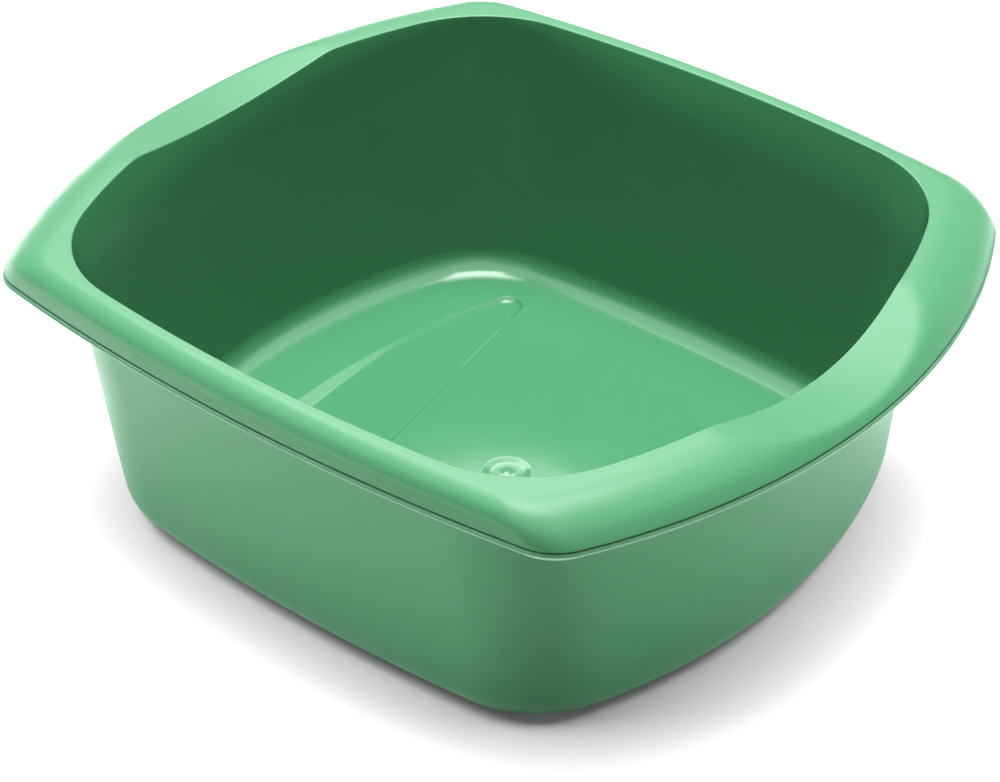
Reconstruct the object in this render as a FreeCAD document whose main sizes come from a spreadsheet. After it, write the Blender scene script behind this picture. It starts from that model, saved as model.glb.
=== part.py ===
"""Washing up bowl, moulded in one shot from polypropylene, drawn as the regions of that moulding.

The tub is a bowed rectangle: two long sides and two ends, each a shallow arc in plan, all leaning
outwards, with round corners and a round heel. A rim is folded out and down round its mouth. The rim
is widest at the two ends, where it makes the handles, and a thumb scoop dips across each of them.
Every level of the bowl has the same kind of outline, and an outline is a core of four arcs moved
outwards, so walls that lean evenly are cones, and the rounds at their foot are exact.
Frame: X along the bowl, Y across it, Z up, origin on the ground under the middle of the floor.
Lengths are millimetres and angles are degrees.
"""
import FreeCAD, Part
import math
import os

import Sketcher

SIZES = [
    ("bowl_height", 136.0, "ground to the top of the rim"),
    ("wall_thickness", 2.2, "skin of the walls and the rim"),
    ("cut_overrun", 12.0, "how far every cutter runs past what it cuts"),
    ("rim_length", 380.0, "overall length, over the lip at the two handles"),
    ("rim_width", 320.0, "overall width, over the lip at the two long sides"),
    ("rim_end_bow", 282.0, "radius of the bowed ends of the lip, in plan"),
    ("rim_side_bow", 970.0, "radius of the bowed long sides of the lip, in plan"),
    ("rim_corner", 20.3, "radius of the lip's four corners, in plan"),
    ("handle_width", 28.3, "lip to mouth at the two handles"),
    ("side_rim_width", 12.7, "lip to mouth along the two long sides"),
    ("rim_depth", 15.2, "top of the rim to the underside of the lip"),
    ("rim_skirt_corner", 20.0, "radius of the rim's four corners, above the lip"),
    ("rim_side_roll", 9.0, "radius over which the top rolls down into the skirt, along the sides"),
    ("rim_end_roll", 26.5, "radius over which the top rolls down into that slope, at the ends"),
    ("rim_end_slope", 60.0, "angle at which the rim comes down on its lip, at the ends"),
    ("lip_reach", 1.3, "how far the lip stands out from the skirt"),
    ("lip_height", 1.5, "thickness of the lip"),
    ("lip_bevel", 0.6, "bevel along the top of the lip"),
    ("mouth_end_bow", 262.0, "radius of the mouth's bowed ends, in plan"),
    ("mouth_side_bow", 834.0, "radius of the mouth's bowed long sides, in plan"),
    ("mouth_corner", 62.0, "radius of the mouth's four corners, in plan"),
    ("wall_lean", 14.2, "how far the walls lean outwards from the floor to the top, in plan"),
    ("floor_fillet", 13.5, "radius between the floor and the walls, inside"),
    ("floor_thickness", 2.4, "thickness of the base panel"),
    ("foot_height", 2.4, "how far the base panel stands off the ground"),
    ("foot_inset", 19.0, "foot's inner edge, inside the foot of the inner wall"),
    ("heel_radius", 19.5, "radius of the rounded heel outside"),
    ("scoop_depth", 8.2, "depth of a thumb scoop at the mouth, on the middle line"),
    ("scoop_bow", 238.0, "radius of a thumb scoop's trough"),
    ("scoop_fall", 3.0, "angle at which a thumb scoop falls towards the lip"),
    ("gate_radius", 11.0, "outer radius of the dimple left by the moulding gate"),
    ("gate_floor_radius", 7.0, "radius of the dimple's flat bottom"),
    ("gate_depth", 0.9, "depth of the dimple"),
    ("gate_nub_radius", 2.0, "radius of the cut-off nub in the dimple"),
    ("gate_nub_height", 1.0, "height of that nub"),
    ("ramp_nose_left", 21.1, "centre of the ramp's round nose, in from the panel's bowed left end"),
    ("ramp_nose_back", 13.2, "centre of the ramp's round nose, in from the panel's bowed back"),
    ("ramp_nose_radius", 9.0, "radius of the ramp's nose"),
    ("ramp_front", 44.1, "ramp's straight front edge, in from the panel's front"),
    ("ramp_front_left", 8.0, "left end of that edge, in from the panel's bowed left end"),
    ("ramp_front_right", 67.0, "right end of that edge, in from the panel's bowed left end"),
    ("ramp_level_left", 18.5, "a place where ramp and floor are level, in from the panel's bowed left end"),
    ("ramp_level_back", 30.1, "the same place, in from the panel's back"),
    ("ramp_tilt", 1.1, "angle at which the ramp rises"),
    ("ramp_heading", 39.4, "direction in plan in which it rises, from the X axis"),
    ("ramp_bank_tilt", 10.0, "angle of the bank along the ramp's left edge"),
]

# An edge taller than this share of a block is one of its upright corners.
TALL_SHARE = 0.8
# An edge flatter than this share of a block's height lies in a level plane.
LEVEL_SHARE = 0.001
RIGHT_ANGLE = 90.0
RIM_NAMES = {"right": "right_handle", "back": "back_rim", "left": "left_handle", "front": "front_rim"}

doc = FreeCAD.newDocument("washing_up_bowl")


# The sheet of driving sizes
def make_sheet():
    sheet = doc.addObject("Spreadsheet::Sheet", "sizes")
    for row, (alias, value, meaning) in enumerate(SIZES, start=1):
        sheet.set("A%d" % row, alias)
        sheet.set("B%d" % row, str(value))
        sheet.set("C%d" % row, meaning)
        sheet.setAlias("B%d" % row, alias)
    doc.recompute()
    return sheet


sheet = make_sheet()


def size(alias):
    return float(sheet.get(alias))


def add(kind, name, **formulas):
    """Add an object whose properties follow formulas; a double underscore stands for a dot."""
    item = doc.addObject(kind, name)
    item.Label = name
    for prop, formula in formulas.items():
        item.setExpression(prop.replace("__", "."), formula)
    return item


def combine(kind, name, shapes):
    item = doc.addObject(kind, name)
    item.Label = name
    item.Shapes = shapes
    doc.recompute()
    return item


def cut(name, base, tool):
    item = doc.addObject("Part::Cut", name)
    item.Label = name
    item.Base = base
    item.Tool = tool
    doc.recompute()
    return item


def value(formula):
    return float(sheet.evalExpression(formula))


def turn(item, axis, angle):
    """Turn an object about an axis through its own base, keeping the base where it is."""
    item.Placement = FreeCAD.Placement(item.Placement.Base, FreeCAD.Rotation(axis, angle))


UP = FreeCAD.Vector(0, 0, 1)
ACROSS = FreeCAD.Vector(0, 1, 0)
GROUND = "0"
TOP = "sizes.bowl_height"
FLOOR = "(sizes.foot_height + sizes.floor_thickness)"
ABOVE_TOP = "(sizes.bowl_height + sizes.cut_overrun)"
BELOW_GROUND = "(-sizes.cut_overrun)"
LIP_TOP = "(sizes.bowl_height - sizes.rim_depth + sizes.lip_height)"
LIP_BOTTOM = "(sizes.bowl_height - sizes.rim_depth)"


# Outlines: two bowed ends and two bowed sides with round corners, the plan of every level of the bowl
MOUTH_HALF_LENGTH = "(sizes.rim_length / 2 - sizes.handle_width)"
MOUTH_HALF_WIDTH = "(sizes.rim_width / 2 - sizes.side_rim_width)"
WALL_TILT = "atan(sizes.wall_lean / (%s - %s))" % (TOP, FLOOR)


def meeting_point(end_centre, end_radius, side_centre, side_radius):
    """Where a bowed end and a bowed side cross, on the far right of the plan."""
    apart = math.hypot(end_centre, side_centre)
    along = (apart ** 2 + end_radius ** 2 - side_radius ** 2) / (2 * apart)
    away = math.sqrt(end_radius ** 2 - along ** 2)
    x = end_centre + (-end_centre * along - side_centre * away) / apart
    y = (side_centre * along - end_centre * away) / apart
    return x, y


def drive(sketch, driven):
    """Add measured constraints to a sketch, each with a name and the formula that it follows."""
    for facts, word, formula in driven:
        number = sketch.addConstraint(Sketcher.Constraint(*facts, value(formula)))
        sketch.renameConstraint(number, word)
        sketch.setExpression("Constraints.%s" % word, formula)


def make_core(name, half_length, half_width, end_bow, side_bow, corner):
    """Sketch of an outline drawn in by its corner radius, so that its four arcs meet in sharp corners."""
    end_core, side_core = "%s - %s" % (end_bow, corner), "%s - %s" % (side_bow, corner)
    end_reach, side_reach = "%s - %s" % (end_bow, half_length), "%s - %s" % (side_bow, half_width)
    end_radius, side_radius = value(end_core), value(side_core)
    end_centre, side_centre = -value(end_reach), -value(side_reach)
    x, y = meeting_point(end_centre, end_radius, side_centre, side_radius)
    end_half = math.atan2(y, x - end_centre)
    side_half = math.atan2(x, y - side_centre)
    sketch = doc.addObject("Sketcher::SketchObject", name)
    sketch.Label = name
    origin, across_axis, up_axis = -1, -1, -2
    first, last, centre = 1, 2, 3
    plan = [(end_centre, 0, end_radius, end_half), (0, side_centre, side_radius, side_half),
            (-end_centre, 0, end_radius, end_half), (0, -side_centre, side_radius, side_half)]
    for turns, (centre_x, centre_y, radius, half) in enumerate(plan):
        circle = Part.Circle(FreeCAD.Vector(centre_x, centre_y, 0), UP, radius)
        middle = turns * math.radians(RIGHT_ANGLE)
        sketch.addGeometry(Part.ArcOfCircle(circle, middle - half, middle + half))
    right, back, left, front = range(len(plan))
    for arc, after in ((right, back), (back, left), (left, front), (front, right)):
        sketch.addConstraint(Sketcher.Constraint("Coincident", arc, last, after, first))
    for arc, axis in ((right, across_axis), (left, across_axis), (back, up_axis), (front, up_axis)):
        sketch.addConstraint(Sketcher.Constraint("PointOnObject", arc, centre, axis))
    driven = [
        (("Radius", right), "right_radius", end_core),
        (("Radius", left), "left_radius", end_core),
        (("Radius", back), "back_radius", side_core),
        (("Radius", front), "front_radius", side_core),
        (("DistanceX", right, centre, origin, first), "right_centre", end_reach),
        (("DistanceX", origin, first, left, centre), "left_centre", end_reach),
        (("DistanceY", back, centre, origin, first), "back_centre", side_reach),
        (("DistanceY", origin, first, front, centre), "front_centre", side_reach),
    ]
    drive(sketch, driven)
    doc.recompute()
    return sketch


def make_block(name, core, offset, low, high, tilt=None):
    """Block between two levels, upright or leaning outwards, with a core's outline moved out."""
    outline = add("Part::Offset2D", name + "_outline", Value=offset, Placement__Base__z=low)
    outline.Source = core
    block = add("Part::Extrusion", name, LengthFwd="%s - %s" % (high, low))
    block.Base = outline
    block.DirMode = "Custom"
    block.Dir = UP
    block.Solid = True
    if tilt:
        block.setExpression("TaperAngle", tilt)
    doc.recompute()
    return block


def make_tub_core():
    return make_core("tub_core", MOUTH_HALF_LENGTH, MOUTH_HALF_WIDTH, "sizes.mouth_end_bow",
                     "sizes.mouth_side_bow", "sizes.mouth_corner")


def make_lip_core():
    return make_core("lip_core", "sizes.rim_length / 2", "sizes.rim_width / 2", "sizes.rim_end_bow",
                     "sizes.rim_side_bow", "sizes.rim_corner")


def sloping_rim_block(name, low, high, skin):
    """Block with upright sides and sloping ends that stand on the lip, thinned by a skin."""
    slope = "(sizes.rim_end_slope * 1 deg)"
    radii = []
    for level in (low, high):
        radii.append("sizes.rim_end_bow - sizes.lip_reach - (%s - %s) / tan(%s) - (%s) / sin(%s)"
                     % (level, LIP_TOP, slope, skin, slope))
    solids = []
    for sign, word in (("-", "right"), ("", "left")):
        end = add("Part::Cone", "%s_%s" % (name, word), Radius1=radii[0], Radius2=radii[1])
        # The round solid's own seam is turned away from the end that it makes.
        turn(end, UP, 2 * RIGHT_ANGLE if word == "right" else 0)
        end.setExpression("Placement.Base.x", "%s(sizes.rim_end_bow - sizes.rim_length / 2)" % sign)
        solids.append(end)
    for sign, word in (("-", "back"), ("", "front")):
        side = add("Part::Cylinder", "%s_%s" % (name, word),
                   Radius="sizes.rim_side_bow - sizes.lip_reach - (%s)" % skin)
        side.setExpression("Placement.Base.y", "%s(sizes.rim_side_bow - sizes.rim_width / 2)" % sign)
        solids.append(side)
    for item in solids:
        item.setExpression("Height", "%s - %s" % (high, low))
        item.setExpression("Placement.Base.z", low)
    return combine("Part::MultiCommon", name, solids)


def round_corners(name, block, radius):
    """Round a block's four upright edges."""
    height = block.Shape.BoundBox.ZLength
    edges = []
    for number, edge in enumerate(block.Shape.Edges, start=1):
        if edge.BoundBox.ZLength > TALL_SHARE * height:
            edges.append((number, radius, radius))
    return blend("Part::Fillet", name, block, edges)


def level_edges(block, level):
    """Edges of a block that lie at one level, with their numbers."""
    reach = LEVEL_SHARE * size("bowl_height")
    found = []
    for number, edge in enumerate(block.Shape.Edges, start=1):
        if all(abs(vertex.Z - level) < reach for vertex in edge.Vertexes):
            found.append((number, edge))
    return found


def bevel_level(name, block, level, width):
    return blend("Part::Chamfer", name, block, [(n, width, width) for n, _ in level_edges(block, level)])


def round_level(name, block, level, end_radius, side_radius):
    """Round the closed row of edges at one level of a block, changing radius round its corners.

    The row is followed anticlockwise, so a corner's first radius is the one that comes first that way.
    """
    reach = LEVEL_SHARE * size("bowl_height")
    edges = []
    for number, edge in level_edges(block, level):
        first, last = edge.Vertexes[0], edge.Vertexes[-1]
        middle = edge.CenterOfMass
        if abs(first.X - last.X) < reach:
            radii = (end_radius, end_radius)
        elif abs(first.Y - last.Y) < reach:
            radii = (side_radius, side_radius)
        elif middle.x * middle.y > 0:
            radii = (end_radius, side_radius)
        else:
            radii = (side_radius, end_radius)
        edges.append((number,) + radii)
    return blend("Part::Fillet", name, block, edges)


def blend(kind, name, block, edges):
    item = doc.addObject(kind, name)
    item.Label = name
    item.Base = block
    item.Edges = edges
    doc.recompute()
    return item


# Tub: its outside, its inside, and the two thumb scoops
def wall_offset(level):
    """Offset of the inner wall's outline from the tub's core, at a level."""
    return "sizes.mouth_corner - sizes.wall_lean * (%s - %s) / (%s - %s)" % (TOP, level, TOP, FLOOR)


def make_tub_outside(core):
    offset = "%s + sizes.wall_thickness" % wall_offset(GROUND)
    block = make_block("tub_block", core, offset, GROUND, TOP, WALL_TILT)
    return round_level("tub_outside", block, 0, size("heel_radius"), size("heel_radius"))


def make_basin(core):
    block = make_block("basin_block", core, wall_offset(FLOOR), FLOOR, ABOVE_TOP, WALL_TILT)
    return round_level("basin", block, value(FLOOR), size("floor_fillet"), size("floor_fillet"))


def make_scoops(name, skin):
    """Two troughs whose lowest line crosses the rim's end, falling towards the lip."""
    radius = size("scoop_bow") + skin
    fall = math.radians(size("scoop_fall"))
    run = size("handle_width") + 2 * size("cut_overrun")
    low_x = value(MOUTH_HALF_LENGTH)
    low_z = size("bowl_height") - size("scoop_depth")
    axis_x = low_x + size("scoop_bow") * math.sin(fall) - size("cut_overrun") * math.cos(fall)
    axis_z = low_z + size("scoop_bow") * math.cos(fall) + size("cut_overrun") * math.sin(fall)
    troughs = []
    for sign, word in ((1, "right"), (-1, "left")):
        trough = add("Part::Cylinder", "%s_%s" % (word, name))
        trough.Radius = radius
        trough.Height = run
        turned = FreeCAD.Rotation(ACROSS, sign * (RIGHT_ANGLE + size("scoop_fall")))
        trough.Placement = FreeCAD.Placement(FreeCAD.Vector(sign * axis_x, 0, axis_z), turned)
        troughs.append(trough)
    return combine("Part::MultiFuse", name, troughs)


# Rim: a flat top that rolls down to an upright skirt along the sides and to a slope at the ends,
# hollow underneath, with a thin lip along its edge
def make_rim_form(name, low, high, skin):
    """Rim between two levels, thinned by a skin; its corners are rounded before it is cut to height."""
    below = "(%s - 2 * sizes.cut_overrun)" % LIP_BOTTOM
    block = sloping_rim_block(name + "_block", below, ABOVE_TOP, skin)
    rounded = round_corners(name + "_corners", block, value("sizes.rim_skirt_corner - (%s)" % skin))
    slab = add("Part::Box", name + "_slab", Length="2 * sizes.rim_length", Width="2 * sizes.rim_length",
               Height="%s - %s" % (high, low), Placement__Base__x="-sizes.rim_length",
               Placement__Base__y="-sizes.rim_length", Placement__Base__z=low)
    return combine("Part::MultiCommon", name + "_trimmed", [rounded, slab])


def make_rim_outside():
    form = make_rim_form("rim_outside", LIP_TOP, TOP, "0")
    return round_level("rim_outside", form, size("bowl_height"), size("rim_end_roll"), size("rim_side_roll"))


def make_rim_hollow():
    wall = size("wall_thickness")
    low = "(%s - sizes.cut_overrun)" % LIP_BOTTOM
    high = "(%s - sizes.wall_thickness)" % TOP
    form = make_rim_form("rim_hollow", low, high, "sizes.wall_thickness")
    end_roll, side_roll = size("rim_end_roll") - wall, size("rim_side_roll") - wall
    return round_level("rim_hollow", form, size("bowl_height") - wall, end_roll, side_roll)


def make_rim_lip(hollow):
    block = make_block("lip_block", make_lip_core(), "sizes.rim_corner", LIP_BOTTOM, LIP_TOP)
    bead = bevel_level("lip_bead", block, value(LIP_TOP), size("lip_bevel"))
    return cut("rim_lip", bead, hollow)


# Base: panel, ramp, gate dimple and foot
def make_floor_block(name, core, low, high):
    """Block with the floor's plan, inside the foot."""
    return make_block(name, core, "%s - sizes.foot_inset" % wall_offset(FLOOR), low, high)


def tangent_point(start, centre, radius, side):
    """Where a line from a start point touches a circle, on the given side of the way to its centre."""
    way = centre.sub(start)
    turn_angle = side * math.asin(radius / way.Length)
    reach = math.sqrt(way.Length ** 2 - radius ** 2)
    heading = math.atan2(way.y, way.x) + turn_angle
    return start.add(FreeCAD.Vector(math.cos(heading), math.sin(heading), 0) * reach)


def panel_reach(half_size, bow, across):
    """How far the panel's bowed end or side is from the middle, at a distance across the bow."""
    radius = "(sizes.%s - sizes.wall_lean - sizes.foot_inset)" % bow
    middle = "(%s - sizes.wall_lean - sizes.foot_inset)" % half_size
    return "(%s - %s + sqrt(%s ^ 2 - (%s) ^ 2))" % (middle, radius, radius, across)


def from_end(alias, across):
    """How far left of the middle a place is that a size puts in from the panel's left end."""
    return "(%s - sizes.%s)" % (panel_reach(MOUTH_HALF_LENGTH, "mouth_end_bow", across), alias)


def from_side(alias, across):
    """How far from the middle a place is that a size puts in from the panel's back or front."""
    return "(%s - sizes.%s)" % (panel_reach(MOUTH_HALF_WIDTH, "mouth_side_bow", across), alias)


RAMP_FRONT = from_side("ramp_front", "0")
RAMP_FRONT_LEFT = from_end("ramp_front_left", RAMP_FRONT)
RAMP_FRONT_RIGHT = from_end("ramp_front_right", RAMP_FRONT)
RAMP_NOSE_LEFT = from_end("ramp_nose_left", from_side("ramp_nose_back", "0"))
RAMP_NOSE_BACK = from_side("ramp_nose_back", RAMP_NOSE_LEFT)
RAMP_LEVEL_BACK = from_side("ramp_level_back", "0")
RAMP_LEVEL_LEFT = from_end("ramp_level_left", RAMP_LEVEL_BACK)


def ramp_corners():
    """Plan points of the ramp: nose centre, front corners, and where its sides touch the nose."""
    nose = FreeCAD.Vector(-value(RAMP_NOSE_LEFT), value(RAMP_NOSE_BACK), 0)
    front_left = FreeCAD.Vector(-value(RAMP_FRONT_LEFT), -value(RAMP_FRONT), 0)
    front_right = FreeCAD.Vector(-value(RAMP_FRONT_RIGHT), -value(RAMP_FRONT), 0)
    left_touch = tangent_point(front_left, nose, size("ramp_nose_radius"), 1)
    right_touch = tangent_point(front_right, nose, size("ramp_nose_radius"), -1)
    return nose, front_left, front_right, left_touch, right_touch


def plane_of(body, role):
    return next(plane for plane in body.Origin.OriginFeatures if plane.Role == role)


def make_ramp_prism():
    """Upright prism of the ramp's plan, tall enough for its slopes to be cut from it."""
    nose, front_left, front_right, left_touch, right_touch = ramp_corners()
    body = doc.addObject("PartDesign::Body", "ramp_prism")
    body.Label = "ramp_prism"
    sketch = body.newObject("Sketcher::SketchObject", "ramp_plan")
    sketch.AttachmentSupport = (plane_of(body, "XY_Plane"), [""])
    sketch.MapMode = "FlatFace"
    start = math.atan2(right_touch.y - nose.y, right_touch.x - nose.x)
    end = math.atan2(left_touch.y - nose.y, left_touch.x - nose.x)
    circle = Part.Circle(nose, FreeCAD.Vector(0, 0, 1), size("ramp_nose_radius"))
    arc = sketch.addGeometry(Part.ArcOfCircle(circle, start, end))
    left = sketch.addGeometry(Part.LineSegment(left_touch, front_left))
    front = sketch.addGeometry(Part.LineSegment(front_left, front_right))
    right = sketch.addGeometry(Part.LineSegment(front_right, right_touch))
    origin, first, last, centre = -1, 1, 2, 3
    sketch.addConstraint([
        Sketcher.Constraint("Tangent", arc, last, left, first),
        Sketcher.Constraint("Coincident", left, last, front, first),
        Sketcher.Constraint("Coincident", front, last, right, first),
        Sketcher.Constraint("Tangent", right, last, arc, first),
        Sketcher.Constraint("Horizontal", front),
    ])
    driven = [
        (("Radius", arc), "ramp_nose_radius", "sizes.ramp_nose_radius"),
        (("DistanceX", arc, centre, origin, first), "ramp_nose_left", RAMP_NOSE_LEFT),
        (("DistanceY", origin, first, arc, centre), "ramp_nose_back", RAMP_NOSE_BACK),
        (("DistanceX", front, first, origin, first), "ramp_front_left", RAMP_FRONT_LEFT),
        (("DistanceX", front, last, origin, first), "ramp_front_right", RAMP_FRONT_RIGHT),
        (("DistanceY", front, first, origin, first), "ramp_front", RAMP_FRONT),
    ]
    drive(sketch, driven)
    pad = body.newObject("PartDesign::Pad", "ramp_height")
    pad.Profile = sketch
    pad.setExpression("Length", "%s + 2 * sizes.cut_overrun" % FLOOR)
    body.setExpression("Placement.Base.z", BELOW_GROUND)
    doc.recompute()
    return body


def make_slope(name, through, axis, angle, drop):
    """Big block whose top is a plane through a point, turned about a level axis, lowered by a drop."""
    span = size("rim_length")
    block = add("Part::Box", name)
    block.Length = 2 * span
    block.Width = 2 * span
    block.Height = span
    turned = FreeCAD.Rotation(axis, angle)
    corner = turned.multVec(FreeCAD.Vector(-span, -span, -span))
    block.Placement = FreeCAD.Placement(through.add(corner).sub(UP * drop), turned)
    return block


def make_base_ramp(prism):
    """Thin panel of the floor that rises towards its nose, with a bank along its left edge."""
    _, front_left, _, left_touch, _ = ramp_corners()
    floor = value(FLOOR)
    level = FreeCAD.Vector(-value(RAMP_LEVEL_LEFT), value(RAMP_LEVEL_BACK), floor)
    heading = math.radians(size("ramp_heading"))
    tilt_axis = FreeCAD.Vector(math.sin(heading), -math.cos(heading), 0)
    bank_axis = left_touch.sub(front_left).normalize()
    bank_foot = front_left.add(UP * floor)
    layers = []
    for word, drop in (("upper", 0), ("lower", size("floor_thickness"))):
        slope = make_slope("%s_slope" % word, level, tilt_axis, size("ramp_tilt"), drop)
        bank = make_slope("%s_bank" % word, bank_foot, bank_axis, size("ramp_bank_tilt"), drop)
        layers.append(combine("Part::MultiFuse", "%s_ramp" % word, [slope, bank]))
    skin = cut("ramp_skin", layers[0], layers[1])
    return combine("Part::MultiCommon", "base_ramp", [prism, skin])


def make_gate_dimple():
    """Shallow dish round the point where the moulding was filled, with the nub that is left there."""
    plug = add("Part::Cylinder", "gate_plug", Radius="sizes.gate_radius", Height="sizes.floor_thickness",
               Placement__Base__z="sizes.foot_height")
    dish = add("Part::Cone", "gate_dish", Radius1="sizes.gate_floor_radius", Radius2="sizes.gate_radius",
               Height="sizes.gate_depth", Placement__Base__z="%s - sizes.gate_depth" % FLOOR)
    nub = add("Part::Cone", "gate_nub", Radius1="sizes.gate_nub_radius", Radius2="sizes.gate_nub_radius / 2",
              Height="sizes.gate_nub_height", Placement__Base__z="%s - sizes.gate_depth" % FLOOR)
    doc.recompute()
    dished = cut("gate_dished", plug, dish)
    return plug, combine("Part::MultiFuse", "gate_dimple", [dished, nub])


# Regions: each side takes the part of the plan between two lines from the middle through the corners
def make_half(name, angle):
    """Block that fills the plan on the left of a line through the middle, which runs at an angle."""
    reach = size("rim_length") + size("rim_width")
    half = add("Part::Box", name, Height="%s - %s" % (ABOVE_TOP, BELOW_GROUND))
    half.Length = 2 * reach
    half.Width = reach
    turned = FreeCAD.Rotation(UP, angle)
    half.Placement = FreeCAD.Placement(turned.multVec(FreeCAD.Vector(-reach, 0, 0)), turned)
    half.setExpression("Placement.Base.z", BELOW_GROUND)
    return half


def make_quarters(core):
    """Pairs of blocks whose common part is a side's share of the plan."""
    corner = max((vertex.Point for vertex in core.Shape.Vertexes), key=lambda point: point.x + point.y)
    angle = math.degrees(math.atan2(corner.y, corner.x))
    over_rising = make_half("over_rising_line", angle)
    under_rising = make_half("under_rising_line", angle + 2 * RIGHT_ANGLE)
    over_falling = make_half("over_falling_line", -angle)
    under_falling = make_half("under_falling_line", 2 * RIGHT_ANGLE - angle)
    doc.recompute()
    return {"right": [under_rising, over_falling], "back": [over_rising, over_falling],
            "left": [over_rising, under_falling], "front": [under_rising, under_falling]}


def make_regions():
    core = make_tub_core()
    tub = make_tub_outside(core)
    basin = make_basin(core)
    scoops = make_scoops("scoops", 0)
    scoop_skins = make_scoops("scoop_skins", size("wall_thickness"))
    rim_outside = make_rim_outside()
    rim_hollow = make_rim_hollow()
    rim_lip = make_rim_lip(rim_hollow)

    below_panel = add("Part::Box", "below_panel", Length="sizes.rim_length", Width="sizes.rim_length",
                      Height="sizes.foot_height + sizes.cut_overrun",
                      Placement__Base__x="-sizes.rim_length / 2", Placement__Base__y="-sizes.rim_length / 2",
                      Placement__Base__z=BELOW_GROUND)
    inside_foot = make_floor_block("inside_foot", core, BELOW_GROUND, "(%s + sizes.cut_overrun)" % FLOOR)
    plate = make_floor_block("base_plate", core, "sizes.foot_height", FLOOR)

    heel = combine("Part::MultiCommon", "heel", [tub, below_panel])
    foot_ring = cut("foot_ring", heel, inside_foot)

    prism = make_ramp_prism()
    base_ramp = make_base_ramp(prism)
    plug, gate_dimple = make_gate_dimple()
    openings = combine("Part::MultiFuse", "panel_openings", [prism, plug])
    base_panel = cut("base_panel", plate, openings)

    not_wall = combine("Part::MultiFuse", "not_wall", [basin, scoops, inside_foot, below_panel])
    walls = cut("walls", tub, not_wall)
    hollow = cut("hollow_under_scoops", rim_hollow, scoop_skins)
    not_rim = combine("Part::MultiFuse", "not_rim", [hollow, scoops, tub])
    rim = cut("rim", rim_outside, not_rim)

    regions = [foot_ring, base_panel, base_ramp, gate_dimple, rim_lip]
    for word, halves in make_quarters(core).items():
        regions.append(combine("Part::MultiCommon", "%s_wall" % word, [walls] + halves))
        regions.append(combine("Part::MultiCommon", RIM_NAMES[word], [rim] + halves))
    return regions


# Build, check, and write one file for each region
def check(regions):
    doc.recompute()
    for item in doc.Objects:
        if "Invalid" in item.State or "Error" in item.State:
            raise RuntimeError("%s did not rebuild: %s" % (item.Label, item.State))
    for region in regions:
        shape = region.Shape
        if shape.isNull() or not shape.isValid() or len(shape.Solids) != 1:
            raise RuntimeError("%s is not one sound solid" % region.Label)


regions = make_regions()
check(regions)
os.makedirs("parts", exist_ok=True)
for region in regions:
    region.Shape.exportStep("parts/%s.step" % region.Label)
    box = region.Shape.optimalBoundingBox(False)
    print("%-14s %8.2f cm3  z %.1f to %.1f" % (region.Label, region.Shape.Volume / 1000, box.ZMin, box.ZMax))
print("%d regions, %.0f cm3 of plastic" % (len(regions), sum(r.Shape.Volume for r in regions) / 1000))
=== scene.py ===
# %% [markdown]
# # A washing up bowl
#
# The real bowl is one moulding in green polypropylene. The construction model cuts it into named
# regions: walls, rims, handles, lip, foot and floor. This lesson gives each region its finished
# surface, which sits where the region is. First the regions are loaded, as a frame that stays put.

# %% Load the frame
import math

import bmesh
import bpy
import numpy as np
from mathutils import Matrix, Vector


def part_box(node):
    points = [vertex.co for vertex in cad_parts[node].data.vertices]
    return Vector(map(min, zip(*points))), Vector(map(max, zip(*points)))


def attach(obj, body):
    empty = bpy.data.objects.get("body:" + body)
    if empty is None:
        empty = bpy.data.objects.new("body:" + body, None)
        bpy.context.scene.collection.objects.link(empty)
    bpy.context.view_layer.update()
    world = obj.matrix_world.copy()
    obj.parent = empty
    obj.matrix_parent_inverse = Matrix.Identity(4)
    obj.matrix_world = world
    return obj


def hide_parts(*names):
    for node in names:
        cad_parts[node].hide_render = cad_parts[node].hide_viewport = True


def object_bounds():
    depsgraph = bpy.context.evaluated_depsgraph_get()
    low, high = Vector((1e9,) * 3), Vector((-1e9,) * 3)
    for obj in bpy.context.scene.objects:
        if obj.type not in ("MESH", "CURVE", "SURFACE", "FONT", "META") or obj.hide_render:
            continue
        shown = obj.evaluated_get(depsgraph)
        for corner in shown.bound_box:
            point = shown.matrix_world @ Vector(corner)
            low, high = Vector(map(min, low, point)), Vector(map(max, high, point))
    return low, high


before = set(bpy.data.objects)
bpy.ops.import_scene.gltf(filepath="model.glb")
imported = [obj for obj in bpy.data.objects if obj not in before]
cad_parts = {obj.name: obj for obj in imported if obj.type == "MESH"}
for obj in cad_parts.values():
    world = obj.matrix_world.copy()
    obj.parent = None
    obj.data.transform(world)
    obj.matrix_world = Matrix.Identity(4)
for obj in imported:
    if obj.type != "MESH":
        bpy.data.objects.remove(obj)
cad_low, cad_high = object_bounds()
print("regions:", ", ".join(sorted(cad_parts)))
print("box of the construction model:", [round(v, 4) for v in (*cad_low, *cad_high)])

# %% [markdown]
# ## Camera
#
# The bowl was seen from above its near corner, through a long lens. A camera could be aimed with a
# constraint, but a matrix made from an azimuth, an elevation and a small roll says the same thing
# with nothing left to solve. The lens axis isn't quite in the middle of the picture, so the camera
# has a small shift.

# %% Camera
MM = 0.001
IMAGE_WIDTH = 1000
IMAGE_HEIGHT = 782
FOCAL_PIXELS = 2940.96
AXIS_PIXEL = (518.06, 362.06)
AZIMUTH, ELEVATION, ROLL = (math.radians(angle) for angle in (40.42, 34.89, -0.79))
DISTANCE = 1240.6 * MM
TARGET = Vector((15.1, -9.1, 75.0)) * MM
SENSOR_WIDTH = 36.0


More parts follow.
